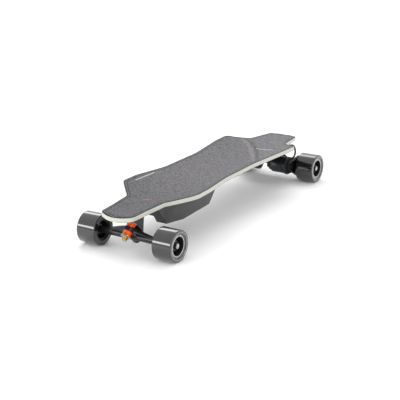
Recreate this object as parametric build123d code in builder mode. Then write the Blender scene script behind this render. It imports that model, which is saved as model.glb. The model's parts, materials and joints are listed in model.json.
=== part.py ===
"""Belt-driven electric skateboard.

Frame: +X points to the nose, +Y to the rider's left, +Z up. The origin is on the ground, under
the middle of the deck. Every length is in millimetres.
"""

from build123d import *
from math import cos, radians, sin, sqrt, tan
import os

os.makedirs("parts", exist_ok=True)

# ---------------------------------------------------------------- driving dimensions
nose_x = 459.0
tail_x = -459.0
front_axle_x = 380.0
wheelbase = 779.0
track = 292.0  # over the outer faces of a pair of wheels

deck_top = 122.0  # centre line, at mid length
deck_thickness = 12.0
camber_radius = 17000.0
concave_radius = 441.0
grip_thickness = 1.2
grip_inset = 1.5
deck_lower_round = 3.5
deck_upper_round = 1.5
blank_half_width = 135.0

wheel_diameter = 85.0
wheel_width = 57.0
wheel_edge_radius = 4.5
core_radius = 28.0
core_wall = 4.0
core_recess = 3.5
hub_radius = 14.5
hub_half_length = 15.0
spoke_count = 6
spoke_thickness = 3.0

bearing_outer_radius = 11.0
bearing_width = 7.0
axle_radius = 4.0
washer_thickness = 1.0
axle_nut_height = 7.0
axle_end_gap = 3.5

running_clearance = 0.05
moving_gap = 0.5

# trucks
truck_angle = 45.0  # steering axis above the horizontal
ring_ahead = 12.0  # hanger ring, ahead of the axle
ring_above = 20.0
ring_radius = 16.0
ring_thickness = 9.0
kingpin_radius = 4.75
kingpin_head_radius = 8.0
kingpin_head_height = 5.0
kingpin_nut_radius = 8.2
kingpin_nut_height = 8.0
bushing_radius = 12.5
bushing_length = 14.0
bushing_waist = 1.6
cup_washer_radius = 14.0
cup_washer_thickness = 1.5
hanger_tube_radius = 9.0
arm_thickness = 9.0
front_arm_reach = 84.0
rear_arm_reach = 60.0
pivot_radius = 6.0
pivot_cup_wall = 3.0
pivot_housing_wall = 3.0
pivot_start = 34.0  # from the ring, along the steering axis
pivot_length = 14.0
steer_range = 15.0

riser_thickness = 3.0
baseplate_thickness = 6.0
baseplate_half_width = 28.0
baseplate_behind = 46.0  # from the axle towards the middle of the board
baseplate_ahead = 22.0
wedge_half_width = 14.0
bolt_spacing_x = 53.5
bolt_spacing_y = 41.3
bolt_pattern_behind = 12.0
bolt_radius = 2.5
bolt_head_radius = 4.25
bolt_head_height = 5.0
insert_radius = 4.0
insert_length = 8.0

# rear drive
motor_ahead = 55.0  # motor axis, ahead of the rear axle
motor_above = 12.5
motor_radius = 25.0
motor_inner_y = 24.0
motor_can_length = 37.0
motor_wall = 4.0
motor_base_thickness = 6.0
motor_base_radius = 24.0
motor_shaft_radius = 3.0
stator_radius = 20.0
mount_thickness = 6.0
mount_motor_radius = 27.0
mount_axle_radius = 17.0
mount_screw_radius = 2.0
mount_screw_circle = 15.0
belt_pitch = 5.0
wheel_pulley_teeth = 36
motor_pulley_teeth = 15
pulley_width = 11.5
belt_width = 9.0
belt_thickness = 2.2
belt_gap = 0.3
pulley_flange = 1.0
pulley_bore_gap = 3.0
motor_cable_radius = 3.0

# battery case
battery_bottom = 62.0
battery_wall = 3.0
battery_rear_x = 108.0
battery_front_x = 302.0
battery_front_lean = 30.0
battery_nose_half_width = 56.0
battery_corner_x = 247.0
battery_half_width = 73.0
battery_rear_half_width = 66.0
battery_shoulder_z = 106.0
battery_shoulder_half_width = 91.0
battery_edge_inset = 6.0
battery_notch_x = 268.0  # a notch in the front end clears the truck
battery_notch_half_width = 25.0
cell_radius = 9.0
cell_length = 65.0
cell_rows = 7
cell_gap = 0.6
case_screw_radius = 2.0
case_screw_head_radius = 3.8
case_post_radius = 5.5

# speed controller case
controller_front_x = -118.0
controller_rear_x = -288.0
controller_half_width = 57.0
controller_bottom = 96.0
controller_wall = 2.5
controller_corner = 16.0
heat_sink_length = 90.0
heat_sink_width = 70.0
heat_sink_drop = 2.5

# switches and sockets
socket_radius = 8.0
socket_bore_radius = 2.75
socket_bore_depth = 9.0
socket_z = 84.0
cap_radius = 11.0
cap_thickness = 2.5
cap_hinge_radius = 2.0
button_radius = 6.0
button_travel = 1.5
button_x = -190.0

# ---------------------------------------------------------------- values worked out
rear_axle_x = front_axle_x - wheelbase
axle_z = wheel_diameter / 2
wheel_y = (track - wheel_width) / 2
hub_end_y = wheel_y - hub_half_length
hanger_end_y = hub_end_y - washer_thickness - moving_gap / 2
axle_end_y = track / 2 - axle_end_gap

steer_way = Vector(cos(radians(truck_angle)), 0, sin(radians(truck_angle)))
kingpin_way = Vector(sin(radians(truck_angle)), 0, -cos(radians(truck_angle)))
ring_centre = Vector(front_axle_x + ring_ahead, 0, axle_z + ring_above)
ring_half = ring_thickness / 2
seat_offset = ring_half + bushing_length + cup_washer_thickness
bushing_tilt_room = 1.0

motor_x = rear_axle_x + motor_ahead
motor_z = axle_z + motor_above
motor_can_end_y = motor_inner_y + motor_can_length
motor_base_y = motor_can_end_y + moving_gap
mount_y = motor_base_y + motor_base_thickness
pulley_y = mount_y + mount_thickness + moving_gap
wheel_pulley_radius = wheel_pulley_teeth * belt_pitch / (2 * 3.14159265)
motor_pulley_radius = motor_pulley_teeth * belt_pitch / (2 * 3.14159265)


def deck_surface_z(x, y=0.0):
    """Height of the deck's top face."""
    camber_drop = camber_radius - sqrt(camber_radius**2 - x**2)
    concave_rise = concave_radius - sqrt(concave_radius**2 - y**2)
    return deck_top - camber_drop + concave_rise


baseplate_top = deck_surface_z(front_axle_x) - deck_thickness - riser_thickness
baseplate_bottom = baseplate_top - baseplate_thickness


def kingpin_plane(distance):
    """Plane across the front kingpin, at a distance below the ring centre."""
    return Plane(ring_centre + kingpin_way * distance, x_dir=(0, 1, 0), z_dir=kingpin_way)


def pivot_plane(distance):
    """Plane across the front steering axis, at a distance behind the ring centre."""
    return Plane(ring_centre - steer_way * distance, x_dir=(0, 1, 0), z_dir=-steer_way)


def side_point(behind, above):
    """X and Z of a point given along the steering axis and up from it."""
    point = ring_centre - steer_way * behind - kingpin_way * above
    return (point.X, point.Z)


def rear_copy(piece):
    """The same truck piece on the rear axle, facing the tail."""
    return Pos(front_axle_x + rear_axle_x, 0, 0) * mirror(piece, about=Plane.YZ, mode=Mode.PRIVATE)


def right_copy(piece):
    """The same piece on the other side of the board."""
    return mirror(piece, about=Plane.XZ, mode=Mode.PRIVATE)


def across(x, z, y):
    """Plane facing +Y, with its origin on an axis that runs across the board."""
    return Plane((x, y, z), x_dir=(-1, 0, 0), z_dir=(0, 1, 0))


def save(builder, name):
    """Label a finished piece and write it."""
    builder.part.label = name
    export_step(builder.part, f"parts/{name}.step")


# ---------------------------------------------------------------- deck
# Half of the outline: distance along the board, half width and corner radius.
deck_outline = [
    (nose_x, 17, 55),
    (nose_x - 17, 51, 22),
    (nose_x - 72, 53.5, 200),
    (315, 60, 16),
    (249, 120, 32),
    (188, 118.5, 60),
    (75, 101, 240),
    (-85, 100.5, 240),
    (-225, 116.5, 200),
    (-293, 119.5, 24),
    (-342, 63, 40),
    (tail_x + 36, 50.5, 60),
    (tail_x + 14, 47, 18),
    (tail_x, 16, 55),
]


def plan_sketch(inset):
    """Plan outline of the deck, moved in by an inset."""
    corners = [(x, y) for x, y, _ in deck_outline]
    corners += [(x, -y) for x, y, _ in reversed(deck_outline)]
    bends = [r for _, _, r in deck_outline]
    bends += list(reversed(bends))
    with BuildSketch() as plan:
        with BuildLine():
            FilletPolyline(*corners, radius=bends, close=True)
        make_face()
        if inset:
            offset(amount=-inset, kind=Kind.ARC, mode=Mode.REPLACE)
    return plan.sketch


def board_band(inset, low, high):
    """The part of the board between two heights over its top face, cut to the plan outline."""
    axis_z = deck_top - camber_radius
    swing = 2 * nose_x / camber_radius
    start = Plane(
        (0, 0, axis_z),
        x_dir=(0, 1, 0),
        z_dir=(cos(-swing), 0, -sin(-swing)),
    )
    with BuildPart() as band:
        with BuildSketch(start):
            with Locations((0, camber_radius + concave_radius)):
                Circle(concave_radius - low)
                Circle(concave_radius - high, mode=Mode.SUBTRACT)
            with Locations((0, camber_radius + concave_radius / 8)):
                Rectangle(2 * blank_half_width, concave_radius / 2, mode=Mode.INTERSECT)
        revolve(axis=Axis((0, 0, axis_z), (0, 1, 0)), revolution_arc=360 / 3.14159265 * swing)
        with BuildSketch(Plane.XY):
            add(plan_sketch(inset))
        extrude(amount=2 * deck_top, mode=Mode.INTERSECT)
    return band.part


def truck_bolt_places(axle_x, way):
    """Centres of a truck's four bolts."""
    middle = axle_x - way * bolt_pattern_behind
    return [
        (middle + i * bolt_spacing_x / 2, j * bolt_spacing_y / 2) for i in (-1, 1) for j in (-1, 1)
    ]


bolt_places = truck_bolt_places(front_axle_x, 1) + truck_bolt_places(rear_axle_x, -1)

with BuildPart() as deck:
    add(board_band(0, -deck_thickness, 0))
    broad_faces = deck.faces().sort_by(SortBy.AREA)[-2:].sort_by(Axis.Z)
    for face, rounding in zip(broad_faces, (deck_lower_round, deck_upper_round)):
        fillet(face.outer_wire().edges(), rounding)
    for x, y in bolt_places:
        floor = deck_surface_z(x, y) - deck_thickness
        with BuildSketch(Plane.XY.offset(floor - 1)):
            with Locations((x, y)):
                Circle(insert_radius)
        extrude(amount=insert_length + 1, mode=Mode.SUBTRACT)
save(deck, "deck")

with BuildPart() as grip_tape:
    add(board_band(grip_inset, 0, grip_thickness))
save(grip_tape, "grip_tape")

with BuildPart() as deck_inserts:
    for x, y in bolt_places:
        floor = deck_surface_z(x, y) - deck_thickness
        with BuildSketch(Plane.XY.offset(floor + 0.2)):
            with Locations((x, y)):
                Circle(insert_radius)
                Circle(bolt_radius, mode=Mode.SUBTRACT)
        extrude(amount=insert_length - 0.2)
save(deck_inserts, "deck_inserts")

# ---------------------------------------------------------------- trucks, fixed side
with BuildPart() as riser_pads:
    for axle_x, way in ((front_axle_x, 1), (rear_axle_x, -1)):
        middle = axle_x + way * (baseplate_ahead - baseplate_behind) / 2
        with BuildSketch(Plane.XY.offset(baseplate_top)):
            with Locations((middle, 0)):
                RectangleRounded(baseplate_ahead + baseplate_behind, 2 * baseplate_half_width, 8)
            with Locations(*truck_bolt_places(axle_x, way)):
                Circle(bolt_radius, mode=Mode.SUBTRACT)
        extrude(amount=2 * deck_thickness)
    add(board_band(0, -deck_thickness, 2 * deck_thickness), mode=Mode.SUBTRACT)
save(riser_pads, "riser_pads")

pivot_bore = pivot_radius + running_clearance + pivot_cup_wall
pivot_end = pivot_start + pivot_length
face_high = (side_point(0, seat_offset)[1] - baseplate_bottom) / sin(radians(truck_angle))

with BuildPart() as front_baseplate:
    with BuildSketch(Plane.XY.offset(baseplate_bottom)):
        with Locations((front_axle_x + (baseplate_ahead - baseplate_behind) / 2, 0)):
            RectangleRounded(baseplate_ahead + baseplate_behind, 2 * baseplate_half_width, 8)
    extrude(amount=baseplate_thickness)
    with BuildSketch(Plane.XZ):
        with BuildLine():
            Polyline(
                side_point(face_high, seat_offset),
                side_point(pivot_start, seat_offset),
                side_point(pivot_start, 0),
                side_point(pivot_end, 0),
                side_point(pivot_end + 4, pivot_bore),
                (front_axle_x - baseplate_behind + 8, baseplate_bottom + 1),
                (side_point(face_high, seat_offset)[0], baseplate_bottom + 1),
                close=True,
            )
        make_face()
    extrude(amount=wedge_half_width, both=True)
    with BuildSketch(pivot_plane(pivot_start)):
        Circle(pivot_bore + pivot_housing_wall)
    extrude(amount=pivot_length + 3)
    with BuildSketch(pivot_plane(pivot_start)):
        Circle(pivot_bore)
    extrude(amount=pivot_length, mode=Mode.SUBTRACT)
    with BuildSketch(pivot_plane(0)):
        Circle(pivot_bore + pivot_housing_wall + 2)
    extrude(amount=pivot_start, mode=Mode.SUBTRACT)
    with BuildSketch(kingpin_plane(-seat_offset)):
        Circle(kingpin_radius)
    extrude(amount=-60, mode=Mode.SUBTRACT)
    with BuildSketch(kingpin_plane(-seat_offset - 10)):
        Circle(kingpin_head_radius)
    extrude(amount=-60, mode=Mode.SUBTRACT)
    with BuildSketch(Plane.XY.offset(baseplate_bottom - 1)):
        with Locations(*truck_bolt_places(front_axle_x, 1)):
            Circle(bolt_radius)
    extrude(amount=baseplate_thickness + 2, mode=Mode.SUBTRACT)
save(front_baseplate, "front_baseplate")

with BuildPart() as rear_baseplate:
    add(rear_copy(front_baseplate.part))
save(rear_baseplate, "rear_baseplate")

with BuildPart() as front_pivot_cup:
    with BuildSketch(pivot_plane(pivot_start)):
        Circle(pivot_bore)
    extrude(amount=pivot_length)
    with BuildSketch(pivot_plane(pivot_start)):
        Circle(pivot_radius + running_clearance)
    extrude(amount=pivot_length - 2, mode=Mode.SUBTRACT)

with BuildPart() as pivot_cups:
    add(front_pivot_cup.part)
    add(rear_copy(front_pivot_cup.part))
save(pivot_cups, "pivot_cups")

kingpin_end = seat_offset + kingpin_nut_height + 3
with BuildPart() as front_kingpin:
    with BuildSketch(kingpin_plane(-seat_offset - 10)):
        Circle(kingpin_radius)
    extrude(amount=seat_offset + 10 + kingpin_end)
    with BuildSketch(kingpin_plane(-seat_offset - 10)):
        RegularPolygon(kingpin_head_radius, 6)
    extrude(amount=-kingpin_head_height)

with BuildPart() as kingpins:
    add(front_kingpin.part)
    add(rear_copy(front_kingpin.part))
save(kingpins, "kingpins")

with BuildPart() as front_kingpin_nut:
    with BuildSketch(kingpin_plane(seat_offset)):
        RegularPolygon(kingpin_nut_radius, 6)
        Circle(kingpin_radius, mode=Mode.SUBTRACT)
    extrude(amount=kingpin_nut_height)

with BuildPart() as kingpin_nuts:
    add(front_kingpin_nut.part)
    add(rear_copy(front_kingpin_nut.part))
save(kingpin_nuts, "kingpin_nuts")

with BuildPart() as front_cup_washers:
    for distance in (-seat_offset, seat_offset - cup_washer_thickness):
        with BuildSketch(kingpin_plane(distance)):
            Circle(cup_washer_radius)
            Circle(kingpin_radius, mode=Mode.SUBTRACT)
        extrude(amount=cup_washer_thickness)

with BuildPart() as cup_washers:
    add(front_cup_washers.part)
    add(rear_copy(front_cup_washers.part))
save(cup_washers, "cup_washers")


def bushing(start, way):
    """A waisted bushing on the front kingpin, from the ring outwards."""
    section = Plane(
        ring_centre + kingpin_way * start,
        x_dir=steer_way,
        z_dir=Vector(0, way, 0),
    )
    with BuildPart() as rubber:
        with BuildSketch(section):
            with BuildLine():
                Line((kingpin_radius, 0), (bushing_radius, 0))
                ThreePointArc(
                    (bushing_radius, 0),
                    (bushing_radius - bushing_waist, bushing_length / 2),
                    (bushing_radius, bushing_length),
                )
                Line((bushing_radius, bushing_length), (kingpin_radius, bushing_length))
                Line((kingpin_radius, bushing_length), (kingpin_radius, 0))
            make_face()
        revolve(axis=Axis(ring_centre, kingpin_way))
    return rubber.part


for name, start, way in (
    ("upper_bushing", -ring_half, -1),
    ("lower_bushing", ring_half, 1),
):
    with BuildPart() as front_bushing:
        add(bushing(start, way))
    save(front_bushing, f"front_{name}")
    with BuildPart() as rear_bushing:
        add(rear_copy(front_bushing.part))
    save(rear_bushing, f"rear_{name}")

with BuildPart() as truck_bolts:
    for x, y in bolt_places:
        with BuildSketch(Plane.XY.offset(baseplate_bottom)):
            with Locations((x, y)):
                Circle(bolt_radius)
        extrude(amount=baseplate_thickness + riser_thickness + insert_length - 1)
        with BuildSketch(Plane.XY.offset(baseplate_bottom)):
            with Locations((x, y)):
                Circle(bolt_head_radius)
        extrude(amount=-bolt_head_height)
        with BuildSketch(Plane.XY.offset(baseplate_bottom - bolt_head_height)):
            with Locations((x, y)):
                RegularPolygon(2.3, 6)
        extrude(amount=2.6, mode=Mode.SUBTRACT)
save(truck_bolts, "truck_bolts")

# ---------------------------------------------------------------- hangers and axles
hanger_way = Vector(ring_ahead, 0, ring_above).normalized()
ring_reach = sqrt(ring_ahead**2 + ring_above**2)


def hanger(arm_reach):
    """A truck hanger on the front axle: tube, two-bar arms, ring and pivot nose."""
    axle_centre = Vector(front_axle_x, 0, axle_z)
    arm_plane = Plane(
        axle_centre,
        x_dir=(0, 1, 0),
        z_dir=Vector(0, 1, 0).cross(hanger_way),
    )
    with BuildPart() as body:
        with BuildSketch(arm_plane):
            with BuildLine():
                Polyline(
                    (-arm_reach, 0),
                    (-arm_reach, 7),
                    (-ring_radius, ring_reach + 9),
                    (ring_radius, ring_reach + 9),
                    (arm_reach, 7),
                    (arm_reach, 0),
                    close=True,
                )
            make_face()
            for side in (-1, 1):
                with BuildLine():
                    FilletPolyline(
                        (side * (ring_radius + 6), hanger_tube_radius + 1.5),
                        (side * (ring_radius + 6), ring_reach - 1),
                        (side * 0.8 * arm_reach, hanger_tube_radius + 1.5),
                        radius=2,
                        close=True,
                    )
                make_face(mode=Mode.SUBTRACT)
        extrude(amount=arm_thickness / 2, both=True)
        with BuildSketch(across(front_axle_x, axle_z, -hanger_end_y)):
            Circle(hanger_tube_radius)
        extrude(amount=2 * hanger_end_y)
        for start, way in ((-ring_half, -1), (ring_half, 1)):
            with BuildSketch(kingpin_plane(start)):
                Circle(bushing_radius + bushing_tilt_room)
            extrude(amount=way * 2 * bushing_length, mode=Mode.SUBTRACT)
        with BuildSketch(kingpin_plane(-ring_half)):
            Circle(ring_radius)
        extrude(amount=ring_thickness)
        with BuildSketch(pivot_plane(ring_reach)):
            Circle(pivot_radius + 3)
        with BuildSketch(pivot_plane(pivot_start - 1)):
            Circle(pivot_radius)
        loft()
        with BuildSketch(pivot_plane(pivot_start - 1)):
            Circle(pivot_radius)
        extrude(amount=pivot_length - 2)
        with BuildSketch(kingpin_plane(-ring_half)):
            Circle(kingpin_radius + 3)
        extrude(amount=ring_thickness, mode=Mode.SUBTRACT)
        with BuildSketch(across(front_axle_x, axle_z, -hanger_end_y)):
            Circle(axle_radius)
        extrude(amount=2 * hanger_end_y, mode=Mode.SUBTRACT)
    return body.part


with BuildPart() as front_hanger:
    add(hanger(front_arm_reach))
save(front_hanger, "front_hanger")

with BuildPart() as rear_hanger:
    add(rear_copy(hanger(rear_arm_reach)))
save(rear_hanger, "rear_hanger")

nut_start_y = wheel_y + hub_half_length + moving_gap / 2 + washer_thickness
for end, axle_x in (("front", front_axle_x), ("rear", rear_axle_x)):
    with BuildPart() as axle:
        with BuildSketch(across(axle_x, axle_z, -axle_end_y)):
            Circle(axle_radius)
        extrude(amount=2 * axle_end_y)
        chamfer(axle.edges().filter_by(GeomType.CIRCLE), 0.8)
    save(axle, f"{end}_axle")

    with BuildPart() as left_axle_nuts:
        for start, height, radius, sides in (
            (nut_start_y - washer_thickness, washer_thickness, 6.5, 0),
            (nut_start_y, axle_nut_height, 7.5, 6),
            (hanger_end_y, washer_thickness, 6.5, 0),
        ):
            with BuildSketch(across(axle_x, axle_z, start)):
                if sides:
                    RegularPolygon(radius, sides)
                else:
                    Circle(radius)
                Circle(axle_radius, mode=Mode.SUBTRACT)
            extrude(amount=height)
    with BuildPart() as axle_nuts:
        add(left_axle_nuts.part)
        add(right_copy(left_axle_nuts.part))
    save(axle_nuts, f"{end}_axle_nuts")

# ---------------------------------------------------------------- wheels
core_outer_y = wheel_width / 2 - core_recess
sleeve_radius = core_radius - core_wall


def wheel_section(axle_x):
    """Section plane of a left wheel: X runs outwards along the radius, Y along the axle."""
    return Plane((axle_x, wheel_y, axle_z), x_dir=(0, 0, 1), z_dir=(-1, 0, 0))


def tyre(axle_x):
    """Urethane tyre of a left wheel."""
    half = wheel_width / 2
    rim = wheel_diameter / 2
    with BuildPart() as urethane:
        with BuildSketch(wheel_section(axle_x)):
            with BuildLine():
                FilletPolyline(
                    (core_radius, -core_outer_y),
                    (core_radius + 1, -half),
                    (rim, -half),
                    (rim, half),
                    (rim - 7, half),
                    (rim - 9.5, half - 2.5),
                    (core_radius, core_outer_y),
                    radius=(0, 0.6, wheel_edge_radius, wheel_edge_radius, 1, 1, 0),
                    close=True,
                )
            make_face()
        revolve(axis=Axis((axle_x, 0, axle_z), (0, 1, 0)))
    return urethane.part


def core(axle_x):
    """Moulded core of a left wheel: sleeve, hub, web and spokes."""
    with BuildPart() as moulding:
        with BuildSketch(across(axle_x, axle_z, wheel_y - core_outer_y)):
            Circle(core_radius)
            Circle(sleeve_radius, mode=Mode.SUBTRACT)
        extrude(amount=2 * core_outer_y)
        with BuildSketch(across(axle_x, axle_z, wheel_y - hub_half_length)):
            Circle(hub_radius)
        extrude(amount=2 * hub_half_length)
        with BuildSketch(across(axle_x, axle_z, wheel_y - spoke_thickness / 2)):
            Circle(sleeve_radius + 1)
        extrude(amount=spoke_thickness)
        with BuildSketch(across(axle_x, axle_z, wheel_y - hub_half_length + 2)):
            with PolarLocations((hub_radius + sleeve_radius) / 2, spoke_count):
                Rectangle(sleeve_radius - hub_radius + 4, spoke_thickness)
        extrude(amount=2 * hub_half_length - 4)
        with BuildSketch(across(axle_x, axle_z, wheel_y - hub_half_length)):
            Circle(bearing_outer_radius - 1)
        extrude(amount=2 * hub_half_length, mode=Mode.SUBTRACT)
        for start in (wheel_y - hub_half_length, wheel_y + hub_half_length - bearing_width):
            with BuildSketch(across(axle_x, axle_z, start)):
                Circle(bearing_outer_radius)
            extrude(amount=bearing_width, mode=Mode.SUBTRACT)
    return moulding.part


def bearings(axle_x):
    """Two ball bearings and the spacer tube between them, in a left wheel."""
    spacer_length = 2 * (hub_half_length - bearing_width)
    with BuildPart() as races:
        for start, length, radius in (
            (wheel_y - hub_half_length, bearing_width, bearing_outer_radius),
            (wheel_y + hub_half_length - bearing_width, bearing_width, bearing_outer_radius),
            (wheel_y - hub_half_length + bearing_width, spacer_length, axle_radius + 2),
        ):
            with BuildSketch(across(axle_x, axle_z, start)):
                Circle(radius)
                Circle(axle_radius + running_clearance, mode=Mode.SUBTRACT)
            extrude(amount=length)
    return races.part


for end, axle_x in (("front", front_axle_x), ("rear", rear_axle_x)):
    for piece_name, make in (("tyre", tyre), ("core", core), ("bearings", bearings)):
        with BuildPart() as left_piece:
            add(make(axle_x))
        save(left_piece, f"{end}_left_{piece_name}")
        with BuildPart() as right_piece:
            add(right_copy(left_piece.part))
        save(right_piece, f"{end}_right_{piece_name}")

# ---------------------------------------------------------------- rear drive, left side
adapter_end_y = wheel_y - core_outer_y
spring_line = belt_width / 2
belt_middle_y = pulley_y + pulley_width / 2

with BuildPart() as wheel_pulley:
    with BuildSketch(across(rear_axle_x, axle_z, pulley_y)):
        Circle(wheel_pulley_radius)
    extrude(amount=pulley_width)
    for start in (pulley_y, pulley_y + pulley_width - pulley_flange):
        with BuildSketch(across(rear_axle_x, axle_z, start)):
            Circle(wheel_pulley_radius + belt_thickness / 2)
        extrude(amount=pulley_flange)
    with BuildSketch(across(rear_axle_x, axle_z, pulley_y)):
        Circle(core_radius)
    extrude(amount=adapter_end_y - pulley_y)
    with BuildSketch(across(rear_axle_x, axle_z, pulley_y)):
        Circle(sleeve_radius - 3)
    extrude(amount=adapter_end_y - pulley_y, mode=Mode.SUBTRACT)

with BuildPart() as motor_pulley:
    with BuildSketch(across(motor_x, motor_z, pulley_y)):
        Circle(motor_pulley_radius)
    extrude(amount=pulley_width)
    for start in (pulley_y, pulley_y + pulley_width - pulley_flange):
        with BuildSketch(across(motor_x, motor_z, start)):
            Circle(motor_pulley_radius + belt_thickness / 2)
        extrude(amount=pulley_flange)
    with BuildSketch(across(motor_x, motor_z, pulley_y)):
        Circle(motor_shaft_radius)
    extrude(amount=pulley_width, mode=Mode.SUBTRACT)


def belt_outline(extra):
    """Outline round both pulleys, at a distance outside their rims."""
    with BuildSketch(across(rear_axle_x, axle_z, belt_middle_y - belt_width / 2)) as outline:
        Circle(wheel_pulley_radius + extra)
        with Locations((-motor_ahead, motor_above)):
            Circle(motor_pulley_radius + extra)
        make_hull()
    return outline.sketch


with BuildPart() as belt:
    add(belt_outline(belt_gap + belt_thickness))
    extrude(amount=belt_width, dir=(0, 1, 0))
    add(belt_outline(belt_gap))
    extrude(amount=belt_width, dir=(0, 1, 0), mode=Mode.SUBTRACT)

with BuildPart() as motor_mount:
    with BuildSketch(across(rear_axle_x, axle_z, mount_y)):
        Circle(mount_axle_radius)
        with Locations((-motor_ahead, motor_above)):
            Circle(mount_motor_radius)
        make_hull()
        Circle(hanger_tube_radius, mode=Mode.SUBTRACT)
        with Locations((-motor_ahead, motor_above)):
            Circle(motor_shaft_radius + 3, mode=Mode.SUBTRACT)
            with PolarLocations(mount_screw_circle, 4, start_angle=45):
                Circle(mount_screw_radius, mode=Mode.SUBTRACT)
        with Locations((-motor_ahead / 2 + 3, motor_above / 2)):
            SlotOverall(20, 7, rotation=90, mode=Mode.SUBTRACT)
    extrude(amount=mount_thickness)

screw_depth = motor_base_thickness - 2
with BuildPart() as motor_base:
    with BuildSketch(across(motor_x, motor_z, motor_base_y)):
        Circle(motor_base_radius)
    extrude(amount=motor_base_thickness)
    with BuildSketch(across(motor_x, motor_z, motor_inner_y + motor_wall + 2)):
        Circle(stator_radius)
    extrude(amount=motor_base_y - motor_inner_y - motor_wall - 2)
    with BuildSketch(across(motor_x, motor_z, motor_inner_y)):
        Circle(motor_shaft_radius + running_clearance)
    extrude(amount=mount_y - motor_inner_y, mode=Mode.SUBTRACT)
    with BuildSketch(across(motor_x, motor_z, mount_y - screw_depth)):
        with PolarLocations(mount_screw_circle, 4, start_angle=45):
            Circle(mount_screw_radius)
    extrude(amount=screw_depth, mode=Mode.SUBTRACT)

with BuildPart() as motor_can:
    with BuildSketch(across(motor_x, motor_z, motor_inner_y)):
        Circle(motor_radius)
    extrude(amount=motor_can_length)
    with BuildSketch(across(motor_x, motor_z, motor_inner_y + motor_wall)):
        Circle(stator_radius + 1)
    extrude(amount=motor_can_length, mode=Mode.SUBTRACT)
    with BuildSketch(across(motor_x, motor_z, motor_inner_y)):
        with PolarLocations(0.62 * motor_radius, 6):
            Circle(3.5)
    extrude(amount=motor_wall, mode=Mode.SUBTRACT)
    with BuildSketch(across(motor_x, motor_z, motor_inner_y)):
        Circle(motor_shaft_radius)
    extrude(amount=pulley_y + pulley_width - motor_inner_y)

with BuildPart() as left_mount_screws:
    with BuildSketch(across(motor_x, motor_z, mount_y - screw_depth)):
        with PolarLocations(mount_screw_circle, 4, start_angle=45):
            Circle(mount_screw_radius)
    extrude(amount=screw_depth + mount_thickness)

for name, piece in (
    ("wheel_pulley", wheel_pulley),
    ("motor_pulley", motor_pulley),
    ("drive_belt", belt),
    ("motor_mount", motor_mount),
    ("motor_base", motor_base),
    ("motor_can", motor_can),
):
    save(piece, f"left_{name}")
    with BuildPart() as right_piece:
        add(right_copy(piece.part))
    save(right_piece, f"right_{name}")

with BuildPart() as mount_screws:
    add(left_mount_screws.part)
    add(right_copy(left_mount_screws.part))
save(mount_screws, "mount_screws")

# ---------------------------------------------------------------- battery case
deck_underside = board_band(0, -deck_thickness, 2 * deck_thickness)
case_height = deck_top - battery_bottom


def outward_plane(a, b, c, inset):
    """Plane through three corners, facing away from the case and moved in by an inset."""
    normal = (Vector(*b) - Vector(*a)).cross(Vector(*c) - Vector(*a)).normalized()
    middle = Vector((battery_front_x + battery_rear_x) / 2, 0, deck_top - deck_thickness)
    if normal.dot(Vector(*a) - middle) < 0:
        normal = -normal
    return Plane(Vector(*a) - normal * inset, z_dir=normal)


def faceted_block(inset):
    """Faceted outer form of the battery case, moved in by an inset and open at the top."""
    low = battery_bottom
    high = battery_shoulder_z
    front_low = (battery_front_x, battery_nose_half_width, low)
    front_high = (battery_front_x + battery_front_lean, battery_nose_half_width, high)
    front_middle = (battery_front_x, 0, low)
    corner_low = (battery_corner_x, battery_half_width, low)
    corner_high = (battery_front_x - 4, battery_half_width + 1, high)
    side_high = (battery_corner_x - 25, battery_shoulder_half_width, high)
    rear_low = (battery_rear_x, battery_rear_half_width, low)
    facets = [(front_middle, front_low, front_high)]
    for way in (1, -1):
        for corners in (
            (front_low, corner_low, corner_high),
            (corner_low, corner_high, side_high),
            (corner_low, side_high, rear_low),
        ):
            facets.append(tuple((x, way * y, z) for x, y, z in corners))
    with BuildPart() as block:
        with BuildSketch(Plane.XY.offset(low + inset)):
            with Locations(((battery_rear_x + battery_front_x) / 2 + 40, 0)):
                Rectangle(battery_front_x - battery_rear_x + 80 - 2 * inset, 2 * blank_half_width)
        extrude(amount=case_height)
        for corners in facets:
            split(bisect_by=outward_plane(*corners, inset), keep=Keep.BOTTOM)
        with BuildSketch(Plane.XY.offset(low)):
            add(plan_sketch(battery_edge_inset + inset))
        extrude(amount=2 * case_height, mode=Mode.INTERSECT)
        notch_length = battery_front_x + battery_front_lean - battery_notch_x + inset
        with BuildSketch(Plane.XY.offset(low)):
            with Locations((battery_notch_x - inset + notch_length / 2, 0)):
                Rectangle(notch_length, 2 * (battery_notch_half_width + inset))
        extrude(amount=2 * case_height, mode=Mode.SUBTRACT)
    return block.part


post_places = [
    (battery_rear_x + 14, 48),
    (battery_rear_x + 14, -48),
    (battery_front_x - 14, 38),
    (battery_front_x - 14, -38),
]

with BuildPart() as battery_case:
    add(faceted_block(0))
    add(faceted_block(battery_wall), mode=Mode.SUBTRACT)
    for x, y in post_places:
        with BuildSketch(Plane.XY.offset(battery_bottom)):
            with Locations((x, y)):
                Circle(case_post_radius)
        extrude(amount=case_height)
    add(deck_underside, mode=Mode.SUBTRACT)
    for x, y in post_places:
        with BuildSketch(Plane.XY.offset(battery_bottom)):
            with Locations((x, y)):
                Circle(case_screw_radius)
        extrude(amount=case_height, mode=Mode.SUBTRACT)
        with BuildSketch(Plane.XY.offset(battery_bottom)):
            with Locations((x, y)):
                Circle(case_screw_head_radius)
        extrude(amount=battery_wall, mode=Mode.SUBTRACT)
    with BuildSketch(Plane.YZ.offset(battery_rear_x)):
        with Locations((0, socket_z)):
            Circle(socket_radius)
    extrude(amount=battery_wall, mode=Mode.SUBTRACT)
save(battery_case, "battery_case")

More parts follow.
